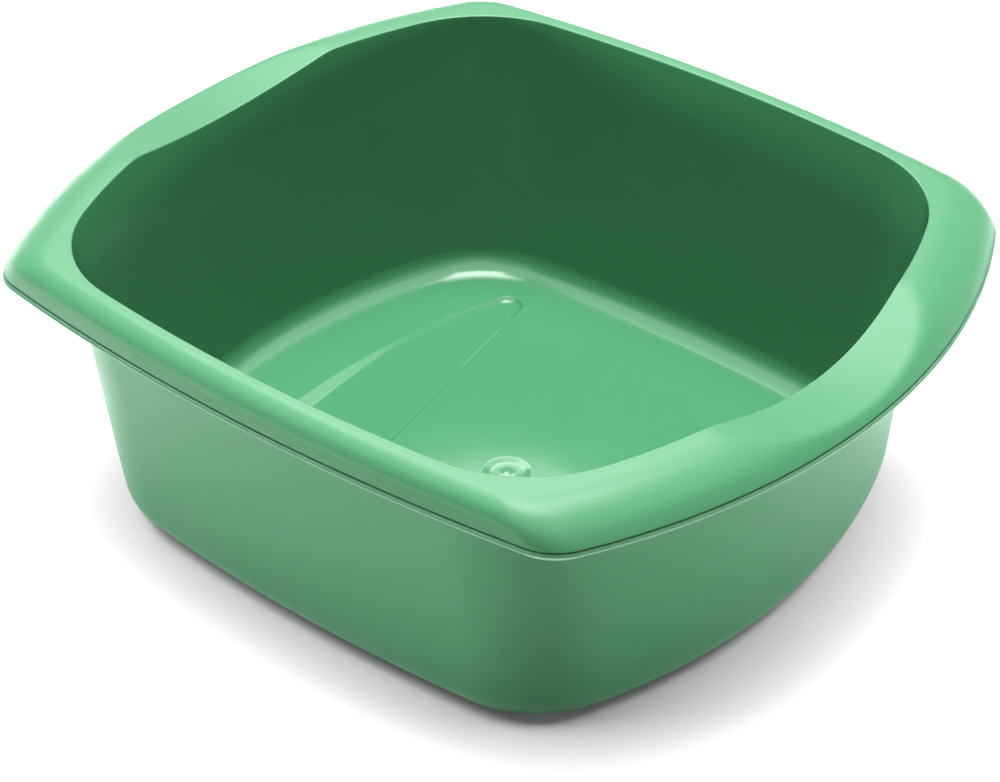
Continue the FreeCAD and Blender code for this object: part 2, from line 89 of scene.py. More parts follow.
def make_camera():
    """Camera that looks at the target from the azimuth and elevation, rolled about its own axis."""
    back = Vector((math.sin(AZIMUTH) * math.cos(ELEVATION),
                   -math.cos(AZIMUTH) * math.cos(ELEVATION),
                   math.sin(ELEVATION)))
    level_right = Vector((math.cos(AZIMUTH), math.sin(AZIMUTH), 0))
    level_up = back.cross(level_right)
    right = math.cos(ROLL) * level_right + math.sin(ROLL) * level_up
    up = math.cos(ROLL) * level_up - math.sin(ROLL) * level_right
    data = bpy.data.cameras.new("camera")
    data.sensor_fit = "HORIZONTAL"
    data.sensor_width = SENSOR_WIDTH
    data.lens = FOCAL_PIXELS * SENSOR_WIDTH / IMAGE_WIDTH
    data.shift_x = (IMAGE_WIDTH / 2 - AXIS_PIXEL[0]) / IMAGE_WIDTH
    data.shift_y = (AXIS_PIXEL[1] - IMAGE_HEIGHT / 2) / IMAGE_WIDTH
    camera = bpy.data.objects.new("camera", data)
    turned = Matrix((right, up, back)).transposed().to_4x4()
    camera.matrix_world = Matrix.Translation(TARGET + DISTANCE * back) @ turned
    bpy.context.scene.collection.objects.link(camera)
    bpy.context.scene.camera = camera
    return camera


camera = make_camera()
print("lens %.1f mm, shift %.4f %.4f" % (camera.data.lens, camera.data.shift_x, camera.data.shift_y))

# %% [markdown]
# ## Plan of the bowl
#
# Seen from above, every level of the bowl is the same kind of shape: two bowed ends, two bowed sides
# and four round corners, all arcs that run smoothly into each other. So the whole skin can be made
# from rows of points, each row one such outline at one level. A subdivision surface could be pulled
# into this shape too, but arcs keep the bows and the corners true, and every row then has the same
# columns, so neighbouring rows join up into clean four-sided faces.
#
# One quarter of an outline is enough: it runs from the middle of an end to the middle of a side. The
# first outline is the mouth's, in millimetres, and the others are drawn from it.

# %% Plan of the bowl
END_COLUMNS = 46
CORNER_COLUMNS = 13
SIDE_COLUMNS = 30
CORNER_MIDDLE = END_COLUMNS + CORNER_COLUMNS
CORNER_LAST = CORNER_MIDDLE + CORNER_COLUMNS
QUARTER_COLUMNS = CORNER_LAST + SIDE_COLUMNS
COLUMN = np.arange(QUARTER_COLUMNS + 1)
DIAGONAL = (82.6, 80.9)
SPLIT = math.atan2(DIAGONAL[1], DIAGONAL[0])
MOUTH = {"half_length": 161.7, "half_width": 147.3, "end_bow": 262.0, "side_bow": 834.0, "corner": 62.0}


def quarter_outline(half_length, half_width, end_bow, side_bow, corner):
    """Plan points of a quarter outline; each size is one number, or one number for each column.

    A column keeps its share of its arc at every level. The column at the middle of a corner lies on
    the diagonal, where the regions of the bowl meet, or as near to it as the corner's arc goes.
    """
    sizes = np.broadcast_arrays(half_length, half_width, end_bow, side_bow, corner,
                                np.zeros(QUARTER_COLUMNS + 1))[:5]
    length, width, end, side, corner = (np.array(size, float) for size in sizes)
    # The corner's centre is where two circles cross: one about each bow's centre.
    end_x, side_y = length - end, width - side
    apart = np.hypot(end_x, side_y)
    along = (apart ** 2 + (end - corner) ** 2 - (side - corner) ** 2) / (2 * apart)
    away = np.sqrt((end - corner) ** 2 - along ** 2)
    toward_x, toward_y = -end_x / apart, side_y / apart
    centre_x = end_x + toward_x * along - toward_y * away
    centre_y = toward_y * along + toward_x * away
    end_turn = np.arctan2(centre_y, centre_x - end_x)
    side_turn = np.arctan2(centre_y - side_y, centre_x)
    lead = np.clip((centre_y * math.cos(SPLIT) - centre_x * math.sin(SPLIT)) / corner, -1, 1)
    spare = (side_turn - end_turn) / 4
    diagonal = np.clip(SPLIT - np.arcsin(lead), end_turn + spare, side_turn - spare)
    # The four arcs: the end, the two halves of the corner, and the side.
    first = end_turn * np.linspace(0, 1, END_COLUMNS + 1)[np.minimum(COLUMN, END_COLUMNS)]
    share = np.clip((COLUMN - END_COLUMNS) / CORNER_COLUMNS, 0, 1)
    second = end_turn + (diagonal - end_turn) * share
    share = np.clip((COLUMN - CORNER_MIDDLE) / CORNER_COLUMNS, 0, 1)
    third = diagonal + (side_turn - diagonal) * share
    share = np.clip((COLUMN - CORNER_LAST) / SIDE_COLUMNS, 0, 1)
    fourth = side_turn + (math.pi / 2 - side_turn) * share
    arcs = [(end_x, 0 * end_x, end, first), (centre_x, centre_y, corner, second),
            (centre_x, centre_y, corner, third), (0 * side_y, side_y, side, fourth)]
    which = np.searchsorted([END_COLUMNS, CORNER_MIDDLE, CORNER_LAST], COLUMN)
    x = np.choose(which, [cx + radius * np.cos(turn) for cx, _, radius, turn in arcs])
    y = np.choose(which, [cy + radius * np.sin(turn) for _, cy, radius, turn in arcs])
    return x, y


mouth_x, mouth_y = quarter_outline(**MOUTH)
print("the mouth's corner crosses the diagonal at x %.1f, y %.1f mm" %
      (mouth_x[CORNER_MIDDLE], mouth_y[CORNER_MIDDLE]))

# %% [markdown]
# ## Levels and walls
#
# The levels come from the frame: the floor, the lip and the top. The walls lean outwards, a little
# more along the sides than at the ends, and a wall at any level is the mouth's outline drawn in by
# its lean. All these sizes are in millimetres.

# %% Levels and walls
TOP = cad_high.z / MM
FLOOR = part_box("base_panel")[1].z / MM
PANEL_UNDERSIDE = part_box("base_panel")[0].z / MM
LIP_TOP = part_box("rim_lip")[1].z / MM
WALL = 2.2
END_LEAN = 13.5
SIDE_LEAN = 15.0
CORNER_LEAN = 11.0


def grown(outline, end, side, corner=None):
    """An outline moved outwards, by one step at its ends and another along its sides."""
    return {"half_length": outline["half_length"] + end, "end_bow": outline["end_bow"] + end,
            "half_width": outline["half_width"] + side, "side_bow": outline["side_bow"] + side,
            "corner": outline["corner"] + ((end + side) / 2 if corner is None else corner)}


def wall_outline(level, thickness=0.0):
    """Outline of the inner wall at a level, or of the outer wall when given the wall's thickness."""
    fall = (TOP - level) / (TOP - FLOOR)
    return grown(MOUTH, thickness - END_LEAN * fall, thickness - SIDE_LEAN * fall,
                 thickness - CORNER_LEAN * fall)


def lean_angles():
    """Angles by which the ends and the sides lean from upright."""
    return [math.atan(lean / (TOP - FLOOR)) for lean in (END_LEAN, SIDE_LEAN)]


print("top %.1f, floor %.1f, top of the lip %.1f mm" % (TOP, FLOOR, LIP_TOP))
print("walls lean %.1f degrees at the ends, %.1f along the sides" %
      tuple(math.degrees(angle) for angle in lean_angles()))

# %% [markdown]
# ## Thumb scoops
#
# Across each handle the top dips in a shallow trough, for the thumbs of the hands that carry the
# bowl. The trough is part of a very wide cylinder that falls a little towards the lip. Cutting it
# with a boolean would leave a hard edge and uneven faces, so the height of each point is instead the
# lower of the rim's own height and the trough's, eased into one another over a short way.

# %% Thumb scoops
SCOOP_DEPTH = 8.2
SCOOP_BOW = 238.0
SCOOP_FALL = math.radians(3.0)
SCOOP_EASE = 0.55


def scoop_height(x, y):
    """Height of the trough over a point of the plan."""
    lowest = TOP - SCOOP_DEPTH - (np.abs(x) - MOUTH["half_length"]) * math.tan(SCOOP_FALL)
    return lowest + SCOOP_BOW - np.sqrt(np.maximum(SCOOP_BOW ** 2 - y ** 2, 0))


def scooped(x, y, height, skin=0.0):
    """A height, lowered where the trough, moved down by a skin, is lower; the two are eased together."""
    trough = np.where(np.abs(x) > np.abs(y), scoop_height(x, y) - skin, TOP + SCOOP_DEPTH)
    ease = SCOOP_EASE * np.log1p(np.exp(-np.abs(trough - height) / SCOOP_EASE))
    return np.minimum(height, trough) - ease


edge_z = scooped(mouth_x, mouth_y, TOP)
print("mouth's edge: %.1f mm high in a scoop, %.1f beside it" % (edge_z[0], edge_z[-1]))

# %% [markdown]
# ## Skin of the bowl, row by row
#
# The skin starts where the floor panel ends, climbs the inside, goes over the rim to the lip, up into
# the hollow under the rim, down the outside and round the heel to the foot. Each row is an outline
# and a height. The rim needs two profiles: a tight roll to an upright band along the sides, and a
# broad roll at the ends. Points of equal height on the two profiles make one row, so the one
# changes into the other round the corners by itself.

# %% Rows up the inside
rows = []
row_marks = {}


def add_row(outline, height, skin=None):
    """Add one row; a skin lets the scoops lower it, by that much more than the surface above."""
    x, y = quarter_outline(**outline)
    z = np.broadcast_to(np.asarray(height, float), x.shape).copy()
    if skin is not None:
        z = scooped(x, y, z, skin)
    rows.append(np.stack([x, y, z], axis=1))


def mark(name):
    """Remember the newest row by a name."""
    row_marks[name] = len(rows) - 1


def filleted_rows(outline, ground, radius, turns):
    """Rows round the fillet between a level floor and the leaning walls that start from an outline."""
    for turn in turns:
        steps = []
        for angle in lean_angles():
            tangent = radius * math.tan(math.pi / 4 - angle / 2)
            reach = min(turn, math.pi / 2 - angle)
            steps.append((radius * math.sin(reach) - tangent, ground + radius * (1 - math.cos(reach))))
        (end, end_z), (side, side_z) = steps
        add_row(grown(outline, end, side), (end_z + side_z) / 2)


PANEL_INSET = 19.0
FLOOR_FILLET = 13.5
FILLET_STEPS = 12
WALL_STEPS = 14
EDGE_ROUND = 0.6
EDGE_STEPS = 5
UPRIGHT_TURN = math.pi / 2 - sum(lean_angles()) / 2

floor_outline = wall_outline(FLOOR)
panel_outline = grown(floor_outline, -PANEL_INSET, -PANEL_INSET)
add_row(panel_outline, FLOOR)
mark("panel_edge")
filleted_rows(floor_outline, FLOOR, FLOOR_FILLET, np.linspace(0, UPRIGHT_TURN, FILLET_STEPS))
wall_foot = rows[-1][0, 2]
for share in np.linspace(0, 1, WALL_STEPS + 1)[1:]:
    level = wall_foot + share * (edge_z - EDGE_ROUND - wall_foot)
    add_row(wall_outline(level), level)
for turn in np.linspace(0, math.pi / 2, EDGE_STEPS + 1)[1:]:
    step = EDGE_ROUND * (1 - math.cos(turn))
    add_row(grown(wall_outline(edge_z), step, step), edge_z - EDGE_ROUND * (1 - math.sin(turn)))
mark("mouth_edge")
add_row(grown(MOUTH, WALL, WALL), TOP, 0.0)
mark("wall_top")
print("rows up the inside:", len(rows))

# %% [markdown]
# The rim: the outline changes from the mouth's, with its wide corners, to the lip's, with tight ones.
# The lip is as long and as wide as the frame. Along a side the roll ends in a crease, and an upright
# band runs from there down to the lip. Towards a corner that roll deepens until it reaches the lip,
# so the crease dies out there and the ends have one broad roll.

# %% Rows over the rim
LIP = {"half_length": cad_high.x / MM, "half_width": cad_high.y / MM, "end_bow": 282.0, "side_bow": 970.0,
       "corner": 20.3}
LIP_REACH = 0.5
SIDE_ROLL = 9.0
CORNER_ROLL = 14.4
END_ROLL = 27.0
SIDE_ROLL_START = LIP["half_width"] - LIP_REACH - MOUTH["half_width"] - SIDE_ROLL
ROLL_CHANGE = (END_COLUMNS + 0.9 * CORNER_COLUMNS, CORNER_LAST + 3)
ROLL_CORNER = 19.0
SKIRT_CORNER = 23.0
FLAT_SHARES = (0.3, 0.6, 0.85, 1.0)
ROLL_STEPS = 18
CREASE_TURN = math.radians(82)
BAND_SHARES = (0.07, 0.18, 0.4, 0.65, 0.88, 1.0)
BAND_FOOT = 13.0


def end_roll_start():
    """Distance from the mouth at which the ends' roll starts, so that it comes down on the lip."""
    drop = TOP - LIP_TOP
    reach = math.sqrt(END_ROLL ** 2 - (END_ROLL - drop) ** 2)
    return LIP["half_length"] - LIP_REACH - MOUTH["half_length"] - reach


def rim_outline(end, side, corner):
    """Outline a step outside the mouth, its bows between those of the mouth and those of the lip."""
    end_share = end / (LIP["half_length"] - MOUTH["half_length"])
    side_share = side / (LIP["half_width"] - MOUTH["half_width"])
    return {"half_length": MOUTH["half_length"] + end, "half_width": MOUTH["half_width"] + side,
            "end_bow": MOUTH["end_bow"] + end_share * (LIP["end_bow"] - MOUTH["end_bow"]),
            "side_bow": MOUTH["side_bow"] + side_share * (LIP["side_bow"] - MOUTH["side_bow"]),
            "corner": corner}


def eased(share):
    """Share from 0 to 1 that starts and stops gently."""
    share = np.clip(share, 0, 1)
    return share ** 2 * (3 - 2 * share)


def roll_depth():
    """Depth of the sides' roll at each column: it deepens to the lip where a side turns the corner."""
    return CORNER_ROLL + (SIDE_ROLL - CORNER_ROLL) * eased(np.interp(COLUMN, ROLL_CHANGE, (0, 1)))


def rim_steps(drop, skin=0.0):
    """Steps from the mouth to the two profiles at a drop below the top, inside a skin."""
    end_radius, deep = END_ROLL - skin, roll_depth()
    end = end_roll_start() + np.sqrt(np.maximum(end_radius ** 2 - (END_ROLL - drop) ** 2, 0))
    left = np.clip((deep - drop) / (deep - skin), 0, 1)
    side = SIDE_ROLL_START + (SIDE_ROLL - skin) * np.sqrt(1 - left ** 2)
    return end, side


def rim_corner(drop, skin=0.0):
    """Corner radius of the rim at a drop below the top: tightest at the top, widest at the lip."""
    share = drop / (TOP - LIP_TOP)
    return ROLL_CORNER + (SKIRT_CORNER - ROLL_CORNER) * share - skin


for share in FLAT_SHARES:
    end = WALL + share * (end_roll_start() - WALL)
    side = WALL + share * (SIDE_ROLL_START - WALL)
    corner = MOUTH["corner"] + WALL + share * (ROLL_CORNER - MOUTH["corner"] - WALL)
    add_row(rim_outline(end, side, corner), TOP, 0.0)
for turn in np.linspace(0, CREASE_TURN, ROLL_STEPS + 1)[1:]:
    drop = roll_depth() * (1 - math.cos(turn))
    add_row(rim_outline(*rim_steps(drop), rim_corner(drop)), TOP - drop, 0.0)
mark("crease")
crease = drop
for share in BAND_SHARES:
    drop = crease + share * (BAND_FOOT - crease)
    add_row(rim_outline(*rim_steps(drop), rim_corner(drop)), TOP - drop, 0.0)
mark("rim_foot")
print("rows to the foot of the rim:", len(rows))
print("the roll at the ends starts %.1f mm out from the mouth" % end_roll_start())

# %% [markdown]
# The lip is a thin bead along the edge: a groove where it leaves the rim, a round top, an upright
# face, and a small ledge with a round lower edge, which catches the light as a fine bright line, made
# brighter by a painted highlight in the rim's finish. A bevelled curve could follow the rim as well,
# but rows that go on from the rim's keep one clean skin. The profile gives steps outwards from the
# lip's outline and heights above its top.

# %% Rows round the lip
LIP_HEIGHT = 2.5
LIP_FOOT = LIP_TOP - LIP_HEIGHT
LIP_PROFILE = [(-0.62, 0.6), (-0.95, 0.5), (-1.3, 0.35), (-1.45, 0.05), (-1.3, -0.22), (-0.85, -0.32),
               (-0.64, -0.4), (-0.55, -0.55), (-0.52, -0.8), (-0.52, -1.5), (-0.47, -1.62), (-0.34, -1.7),
               (-0.16, -1.77), (-0.05, -1.87), (0.0, -2.04), (-0.02, -2.26), (-0.14, -2.44), (-0.5, -2.5)]


def lip_row(step, height):
    """Add a row of the lip, its corner between that of the lip's face and that of the rim above."""
    share = np.clip(-step / LIP_REACH, 0, 1)
    corner = LIP["corner"] + share * (SKIRT_CORNER - LIP["corner"])
    add_row(grown(LIP, step, step, corner - LIP["corner"]), height)


for step, height in LIP_PROFILE:
    lip_row(step, LIP_TOP + height)
for level in (LIP_FOOT, LIP_TOP):
    end, side = rim_steps(TOP - level, WALL)
    add_row(rim_outline(end, side, SKIRT_CORNER - WALL), level)
mark("lip_inside")
print("rows to the inside of the lip:", len(rows))

# %% [markdown]
# Under the rim the skin follows the top at the thickness of the wall, and then runs down the outside
# to the heel and the foot.

# %% Rows under the rim and down the outside
UNDER_DROPS = (12.0, 9.8, 7.6, 5.8, 4.4, 3.4, 2.7, 2.3, WALL)
OUTSIDE_STEPS = 18
HEEL_RADIUS = 19.5
HEEL_STEPS = 10
FOOT_STEPS = 6
FOOT_BEVEL = 0.3

for drop in UNDER_DROPS:
    corner = MOUTH["corner"] + (rim_corner(drop, WALL) - MOUTH["corner"]) * min(drop / SIDE_ROLL, 1)
    add_row(rim_outline(*rim_steps(drop, WALL), corner), TOP - drop, WALL)
junction_x, junction_y = quarter_outline(**grown(MOUTH, WALL, WALL))
junction_z = scooped(junction_x, junction_y, TOP - WALL, WALL)
add_row(wall_outline(junction_z, WALL), junction_z)
mark("rim_junction")

ground_outline = wall_outline(0.0, WALL)
heel_top = HEEL_RADIUS * (1 - math.cos(UPRIGHT_TURN))
for share in np.linspace(0, 1, OUTSIDE_STEPS + 1)[1:-1]:
    level = junction_z + share * (heel_top - junction_z)
    add_row(wall_outline(level, WALL), level)
foot_turn = math.acos(1 - PANEL_UNDERSIDE / HEEL_RADIUS)
filleted_rows(ground_outline, 0.0, HEEL_RADIUS, np.linspace(UPRIGHT_TURN, foot_turn, HEEL_STEPS + 1))
mark("foot_top")
filleted_rows(ground_outline, 0.0, HEEL_RADIUS, np.linspace(foot_turn, 0, FOOT_STEPS + 1)[1:])
add_row(grown(floor_outline, FOOT_BEVEL - PANEL_INSET, FOOT_BEVEL - PANEL_INSET), 0.0)
add_row(panel_outline, FOOT_BEVEL)
add_row(panel_outline, PANEL_UNDERSIDE)
mark("foot_inside")
print("rows in all:", len(rows), row_marks)

# %% [markdown]
# ## One grid for the whole skin
#
# The quarter is mirrored into a full ring. The normals are taken from the whole grid, before it is
# cut into pieces. Each piece keeps those normals, so the light runs over the cuts without a break,
# as it does over one moulding.

# %% One grid
def full_ring(quarter):
    """Rows by columns of points round the whole bowl, anticlockwise from the middle of the right end."""
    forward, backward = quarter[:, :-1], quarter[:, :0:-1]
    flips = [(forward, (1, 1, 1)), (backward, (-1, 1, 1)), (forward, (-1, -1, 1)), (backward, (1, -1, 1))]
    return np.concatenate([part * np.array(flip) for part, flip in flips], axis=1)


def grid_normals(grid):
    """Normal at each point: the mean of the faces round it, larger faces counting more."""
    onward = np.roll(grid, -1, axis=1)
    across = np.cross(onward[1:] - grid[:-1], grid[1:] - onward[:-1])
    total = np.zeros_like(grid)
    for part in (across, np.roll(across, 1, axis=1)):
        total[:-1] += part
        total[1:] += part
    return total / np.linalg.norm(total, axis=2, keepdims=True)


grid = full_ring(np.array(rows))
normals = -grid_normals(grid)
print("grid of %d rows and %d columns; normal on the panel's edge %s" %
      (*grid.shape[:2], normals[0, 0].round(2)))

# %% [markdown]
# ## Cutting the skin into pieces
#
# A piece is a closed ring of rows between two columns. Between rows of the skin its faces are smooth.
# Where it meets a neighbour, inside the plastic, its faces are flat, and it is closed at both ends.
# Each face also gets the number of its finish: glossy inside, satin outside, a sheen on the rim and
# the lip, and a duller one on the upright band. The bowl is cut at the middle columns of its corners.

# %% Finishes and columns of the pieces
INSIDE, OUTSIDE, RIM, BAND = 0, 1, 2, 3
SIDES = ["right", "back", "left", "front"]
row_finishes = {row: BAND for row in range(row_marks["crease"], row_marks["rim_foot"])}
row_finishes[row_marks["mouth_edge"]] = RIM
everywhere = list(range(4 * QUARTER_COLUMNS))


def side_columns(side):
    """Columns of one side, from the diagonal before it to the diagonal after it."""
    corners = [CORNER_MIDDLE, 2 * QUARTER_COLUMNS - CORNER_MIDDLE, 2 * QUARTER_COLUMNS + CORNER_MIDDLE,
               4 * QUARTER_COLUMNS - CORNER_MIDDLE]
    number = SIDES.index(side)
    first, last = corners[number - 1], corners[number]
    if first > last:
        first -= 4 * QUARTER_COLUMNS
    return [c % (4 * QUARTER_COLUMNS) for c in range(first, last + 1)]


print("columns:", {side: len(side_columns(side)) for side in SIDES}, "of", len(everywhere))

# %% Mesh maker
def make_mesh(name, points, faces, face_normals, finishes):
    """Mesh with a normal for each corner of each face, and a finish number for each face."""
    mesh = bpy.data.meshes.new(name)
    mesh.from_pydata(points, [], faces)
    mesh.polygons.foreach_set("use_smooth", [True] * len(mesh.polygons))
    mesh.polygons.foreach_set("material_index", finishes)
    mesh.normals_split_custom_set([tuple(n) for normals in face_normals for n in normals])
    mesh.update()
    piece = bpy.data.objects.new(name, mesh)
    bpy.context.scene.collection.objects.link(piece)
    return piece


def flat_normal(points, face):
    """Normal of a flat face, by the sum over its edges."""
    corners = np.array([points[i] for i in face])
    total = np.cross(corners, np.roll(corners, -1, axis=0)).sum(axis=0)
    return total / max(np.linalg.norm(total), 1e-12)


print("the panel's outline faces", flat_normal(grid[0], everywhere).round(2))

# %% Walls, rims, handles, lip and foot
RIM_NODES = {"right": "right_handle", "back": "back_rim", "left": "left_handle", "front": "front_rim"}
pieces = {}


def between(*names):
    """Span of rows from one mark to another."""
    return row_marks[names[0]], row_marks[names[-1]]


def print_faces(*nodes):
    """Print how many faces some pieces have."""
    for node in nodes:
        print("%-14s %6d faces" % (node, len(pieces[node].data.polygons)))


def ring_piece(name, spans, columns, finishes):
    """Closed piece: spans of skin rows, joined in a ring by flat faces, over some columns of the grid."""
    loop = [row for first, last in spans for row in range(first, last + 1)]
    skin = {(row, row + 1): number for number, (first, last) in enumerate(spans)
            for row in range(first, last)}
    whole = len(columns) == grid.shape[1]
    points = (grid[loop][:, columns] * MM).reshape(-1, 3)
    wide = len(columns)
    faces, face_normals, face_finishes = [], [], []
    for k in range(len(loop)):
        after = (k + 1) % len(loop)
        span = skin.get((loop[k], loop[after]))
        for c in range(wide if whole else wide - 1):
            d = (c + 1) % wide
            face = [k * wide + c, after * wide + c, after * wide + d, k * wide + d]
            if span is None:
                shading = [flat_normal(points, face)] * 4
            else:
                shading = [normals[loop[i // wide], columns[i % wide]] for i in face]
            faces.append(face)
            face_normals.append(shading)
            face_finishes.append(row_finishes.get(loop[k], finishes[span or 0]))
    if not whole:
        first_end = [k * wide for k in reversed(range(len(loop)))]
        last_end = [k * wide + wide - 1 for k in range(len(loop))]
        for face in (first_end, last_end):
            faces.append(face)
            face_normals.append([flat_normal(points, face)] * len(face))
            face_finishes.append(finishes[0])
    return make_mesh(name, points, faces, face_normals, face_finishes)


for side in SIDES:
    columns = side_columns(side)
    wall = [between("panel_edge", "wall_top"), between("rim_junction", "foot_top"),
            between("foot_inside")]
    rim = [between("wall_top", "rim_foot"), between("lip_inside", "rim_junction")]
    pieces[side + "_wall"] = ring_piece(side + "_wall_skin", wall, columns, [INSIDE, OUTSIDE, OUTSIDE])
    pieces[RIM_NODES[side]] = ring_piece(RIM_NODES[side] + "_skin", rim, columns, [RIM, OUTSIDE])
lip = [between("rim_foot", "lip_inside")]
foot = [between("foot_top", "foot_inside")]
pieces["rim_lip"] = ring_piece("rim_lip_skin", lip, everywhere, [RIM])
pieces["foot_ring"] = ring_piece("foot_ring_skin", foot, everywhere, [OUTSIDE])
print_faces(*pieces)

# %% [markdown]
# ## Floor
#
# The floor panel has two features. A long tapered ramp is pressed into it: a hollow with a round nose,
# deepest at the nose, at the front and along its bowed left edge, where a gentle bank leads down
# into it. In the middle is the mark of the gate, the point where the mould was filled: a shallow
# dish with a cut nub. The ramp is a height over its plan that starts from the floor at its outline,
# so it is a grid of points across and along, and the panel itself stays flat, with two holes.

# %% Ramp outline
RAMP_NOSE = Vector((-84.8, 100.2))
RAMP_NOSE_RADIUS = 7.9
RAMP_FRONT = -70.0
RAMP_RIGHT_CORNER = Vector((-44.0, RAMP_FRONT))
RAMP_BOW_CENTRE = Vector((205.0, 0.0))
RAMP_BOW = (RAMP_NOSE - RAMP_BOW_CENTRE).length + RAMP_NOSE_RADIUS
RAMP_STATIONS = np.concatenate([np.linspace(0, 0.01, 6), np.linspace(0.02, 1, 110)])
RAMP_NOSE_STEPS = 24


def right_touch():
    """Point where the straight right edge touches the nose's circle."""
    way = RAMP_NOSE - RAMP_RIGHT_CORNER
    turn = math.atan2(way.y, way.x) - math.asin(RAMP_NOSE_RADIUS / way.length)
    reach = math.sqrt(way.length ** 2 - RAMP_NOSE_RADIUS ** 2)
    return RAMP_RIGHT_CORNER + reach * Vector((math.cos(turn), math.sin(turn)))


RAMP_TOUCH = right_touch()
RIGHT_WAY = (RAMP_TOUCH - RAMP_RIGHT_CORNER).normalized()
bow_way = RAMP_NOSE - RAMP_BOW_CENTRE
NOSE_ANGLES = (math.atan2(bow_way.y, bow_way.x), math.atan2(*(RAMP_TOUCH - RAMP_NOSE).yx))


def ramp_chain(side):
    """Plan points along one edge of the ramp, from its front corner to the tip of the nose."""
    if side == 0:
        front = math.pi - math.asin(RAMP_FRONT / RAMP_BOW)
        angles = front + (NOSE_ANGLES[0] - front) * RAMP_STATIONS
        edge = [RAMP_BOW_CENTRE + RAMP_BOW * Vector((math.cos(a), math.sin(a))) for a in angles]
    else:
        edge = [RAMP_RIGHT_CORNER.lerp(RAMP_TOUCH, station) for station in RAMP_STATIONS]
    tip = sum(NOSE_ANGLES) / 2
    angles = np.linspace(NOSE_ANGLES[side], tip, RAMP_NOSE_STEPS + 1)[1:]
    nose = [RAMP_NOSE + RAMP_NOSE_RADIUS * Vector((math.cos(a), math.sin(a))) for a in angles]
    return np.array([tuple(point) for point in edge + nose])


left_edge, right_edge = ramp_chain(0), ramp_chain(1)
print("ramp %.1f mm wide at the front; its nose ends at y %.1f" %
      (right_edge[0, 0] - left_edge[0, 0], left_edge[-1, 1]))

# %% [markdown]
# The bottom of the ramp is a slightly tilted plane, pushed deeper towards the nose. The walls round it
# start from the floor at the outline: round-bottomed, but for the gentle bank that the left edge
# changes to. A point lies on the higher of bottom and wall, with the two eased together. Cutting the
# hollow with a boolean and a bevel would be harder to steer, and the bevel would break at the nose.

# %% Ramp heights
RAMP_LEVEL = (-94.0, 84.0)
RAMP_TILT = math.tan(math.radians(1.9))
RAMP_HEADING = math.radians(39.4)
NOSE_DEPTH = 3.3
RAMP_DEPTH = 2.2
NOSE_REACH = 70.0
DISH_RADIUS = 5.0
DISH_WIDTH = 4.15
GENTLE_BANK = math.radians(17.5)
BANK_CHANGE = (9.0, 46.0)
BANK_EASES = (0.15, 0.06)
EDGE_EASE = 0.22
LEFT_INSETS = np.array([0, 0.12, 0.25, 0.4, 0.55, 0.75, 1, 1.3, 1.7, 2.2,
                        3, 4, 5, 6, 7, 8, 9, 10, 11, 12, 13.5])
RIGHT_INSETS = np.array([6, 4, 3, 2.2, 1.7, 1.3, 1, 0.75, 0.55, 0.4, 0.25, 0.12, 0])


def ramp_insets(x, y):
    """Distances from the left edge, the right edge and the nose's round end."""
    from_left = RAMP_BOW - np.hypot(x - RAMP_BOW_CENTRE.x, y - RAMP_BOW_CENTRE.y)
    from_right = (y - RAMP_RIGHT_CORNER.y) * RIGHT_WAY.x - (x - RAMP_RIGHT_CORNER.x) * RIGHT_WAY.y
    angle = np.arctan2(y - RAMP_NOSE.y, x - RAMP_NOSE.x)
    at_nose = (angle < NOSE_ANGLES[0]) & (angle > NOSE_ANGLES[1])
    from_nose = RAMP_NOSE_RADIUS - np.hypot(x - RAMP_NOSE.x, y - RAMP_NOSE.y)
    return from_left, from_right, np.where(at_nose, from_nose, np.inf)


def rolled_in(inset):
    """Distance that starts from nothing and comes to run one for one, to round an edge over."""
    inset = np.maximum(inset, 0)
    return inset - EDGE_EASE * (1 - np.exp(-inset / EDGE_EASE))


def dished(inset):
    """Depth of a round-bottomed wall: steep at its edge, level where it reaches the bottom."""
    left = np.clip(DISH_WIDTH - rolled_in(inset), 0, DISH_WIDTH)
    return np.sqrt(DISH_RADIUS ** 2 - left ** 2) - math.sqrt(DISH_RADIUS ** 2 - DISH_WIDTH ** 2)


def ramp_height(x, y):
    """Height of the ramp from the floor: its own slope, or the banks round it where they are higher."""
    from_left, from_right, from_nose = ramp_insets(np.asarray(x), np.asarray(y))
    along = RAMP_NOSE.y + RAMP_NOSE_RADIUS - y
    slope = RAMP_TILT * ((x - RAMP_LEVEL[0]) * math.cos(RAMP_HEADING)
                         + (y - RAMP_LEVEL[1]) * math.sin(RAMP_HEADING))
    slope = np.maximum(slope - NOSE_DEPTH * np.clip(1 - along / NOSE_REACH, 0, 1) ** 2, -RAMP_DEPTH)
    change = eased((along - BANK_CHANGE[0]) / (BANK_CHANGE[1] - BANK_CHANGE[0]))
    at_left = (1 - change) * dished(from_left) + change * math.tan(GENTLE_BANK) * rolled_in(from_left)
    at_edges = np.minimum(np.minimum(at_left, dished(from_right)), dished(y - RAMP_FRONT))
    round_nose = dished(np.minimum(from_nose, RAMP_NOSE_RADIUS))
    bank = -np.where(np.isfinite(from_nose), round_nose, at_edges)
    ease = BANK_EASES[0] + (BANK_EASES[1] - BANK_EASES[0]) * change
    return np.minimum(np.maximum(slope, bank) + ease * np.log1p(np.exp(-np.abs(slope - bank) / ease)), 0)


def ramp_points():
    """Grid of points along and across the ramp; its rows shrink to nothing at the tip of the nose."""
    wide = np.linalg.norm(right_edge - left_edge, axis=1)[:, None]
    squeeze = np.minimum(1, wide / (2 * LEFT_INSETS[-1]))
    across = np.concatenate([LEFT_INSETS * squeeze, wide - RIGHT_INSETS * squeeze], axis=1)
    share = (across / np.maximum(wide, 1e-9))[:, :, None]
    plan = left_edge[:, None] * (1 - share) + right_edge[:, None] * share
    height = FLOOR + ramp_height(plan[..., 0], plan[..., 1])
    return np.concatenate([plan, height[..., None]], axis=2)


